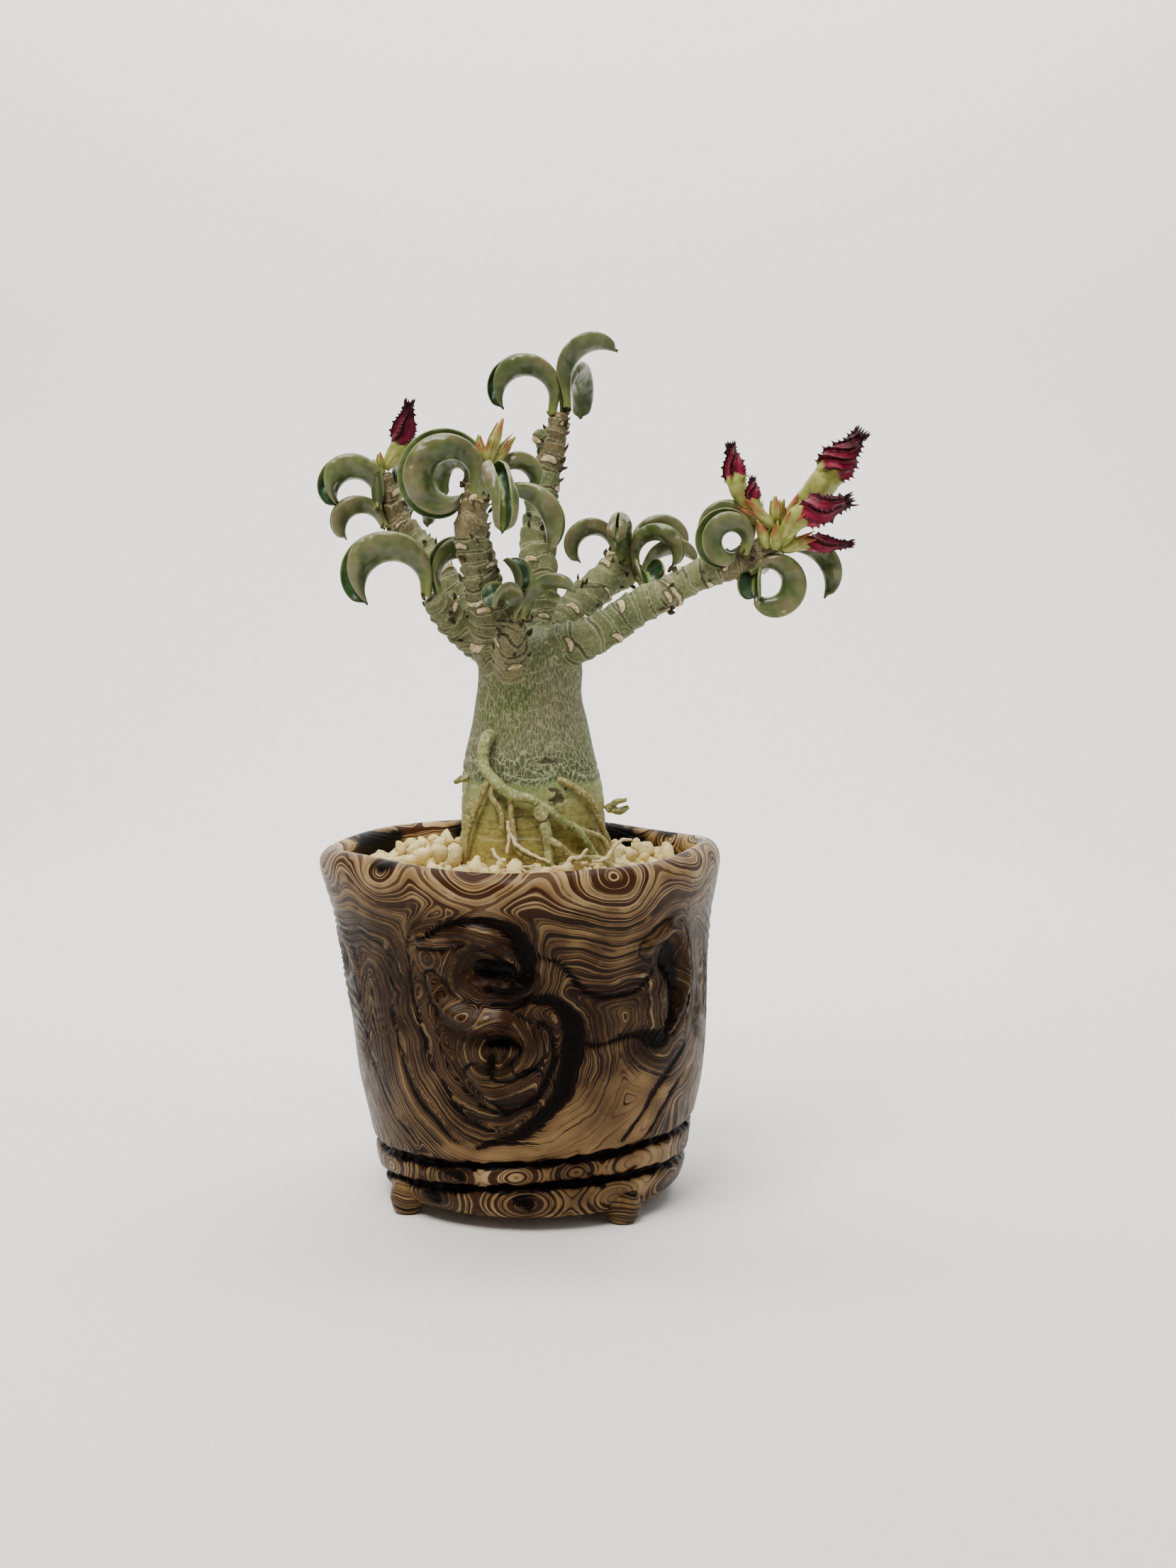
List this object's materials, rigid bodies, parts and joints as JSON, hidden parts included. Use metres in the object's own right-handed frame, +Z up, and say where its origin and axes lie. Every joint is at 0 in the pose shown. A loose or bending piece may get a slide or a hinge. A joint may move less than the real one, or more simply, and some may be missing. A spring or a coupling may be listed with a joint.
{
  "type": "potted desert rose",
  "caption": "Desert rose with a swollen trunk, folded arching leaves and furled crimson buds, growing in pumice in a small round footed stoneware pot with a wood-grain marbled pattern.",
  "frame": {"origin": "middle of the whole object's outline, seen from above, on the surface it stands on", "axes": "+Z up; the picture is taken from the front, looking along +Y, with +X to the right"},
  "size_m": [0.1398, 0.1022, 0.2216],
  "materials": {
    "ceramic": "satin glazed marbled stoneware, tan with dark brown and black lines",
    "pumice": "dry pumice grit, cream, matt and porous",
    "bark": "grey-green bark with fine pale cracks, tan at the soil",
    "leaf": "waxy olive green, darker and glossier on the upper face",
    "bud_green": "soft yellow green with reddish tips",
    "petal": "crimson, crinkled, with near-black toothed edges"
  },
  "bodies": {
    "root": {"pot": "ceramic", "substrate": "pumice", "caudex": "bark", "bud_far_left_tube": "bud_green", "bud_far_left_petals": "petal", "bud_long_right_1_tube": "bud_green", "bud_long_right_1_petals": "petal", "bud_long_right_2_tube": "bud_green", "bud_long_right_2_petals": "petal", "bud_long_right_3_tube": "bud_green", "bud_long_right_3_petals": "petal", "bud_long_right_4_tube": "bud_green", "bud_long_right_4_petals": "petal", "bud_long_right_5_tube": "bud_green", "bud_long_right_5_petals": "petal", "buds_far_left": "bud_green", "buds_centre": "bud_green", "buds_long_right": "bud_green", "leaf_far_left_1": "leaf", "leaf_far_left_2": "leaf", "leaf_far_left_3": "leaf", "leaf_far_left_4": "leaf", "leaf_low_left_1": "leaf", "leaf_low_left_2": "leaf", "leaf_centre_1": "leaf", "leaf_centre_2": "leaf", "leaf_centre_3": "leaf", "leaf_centre_4": "leaf", "leaf_centre_5": "leaf", "leaf_centre_6": "leaf", "leaf_tall_1": "leaf", "leaf_tall_2": "leaf", "leaf_tall_3": "leaf", "leaf_front_1": "leaf", "leaf_front_2": "leaf", "leaf_front_3": "leaf", "leaf_front_4": "leaf", "leaf_right_back_1": "leaf", "leaf_right_back_2": "leaf", "leaf_right_back_3": "leaf", "leaf_right_back_4": "leaf", "leaf_right_back_5": "leaf", "leaf_right_back_6": "leaf", "leaf_right_back_7": "leaf", "leaf_long_right_1": "leaf", "leaf_long_right_2": "leaf", "leaf_long_right_3": "leaf", "leaf_long_right_4": "leaf", "leaf_far_left_5": "leaf", "leaf_long_right_6": "leaf", "leaf_long_right_5": "leaf"}
  },
  "joints": []
}
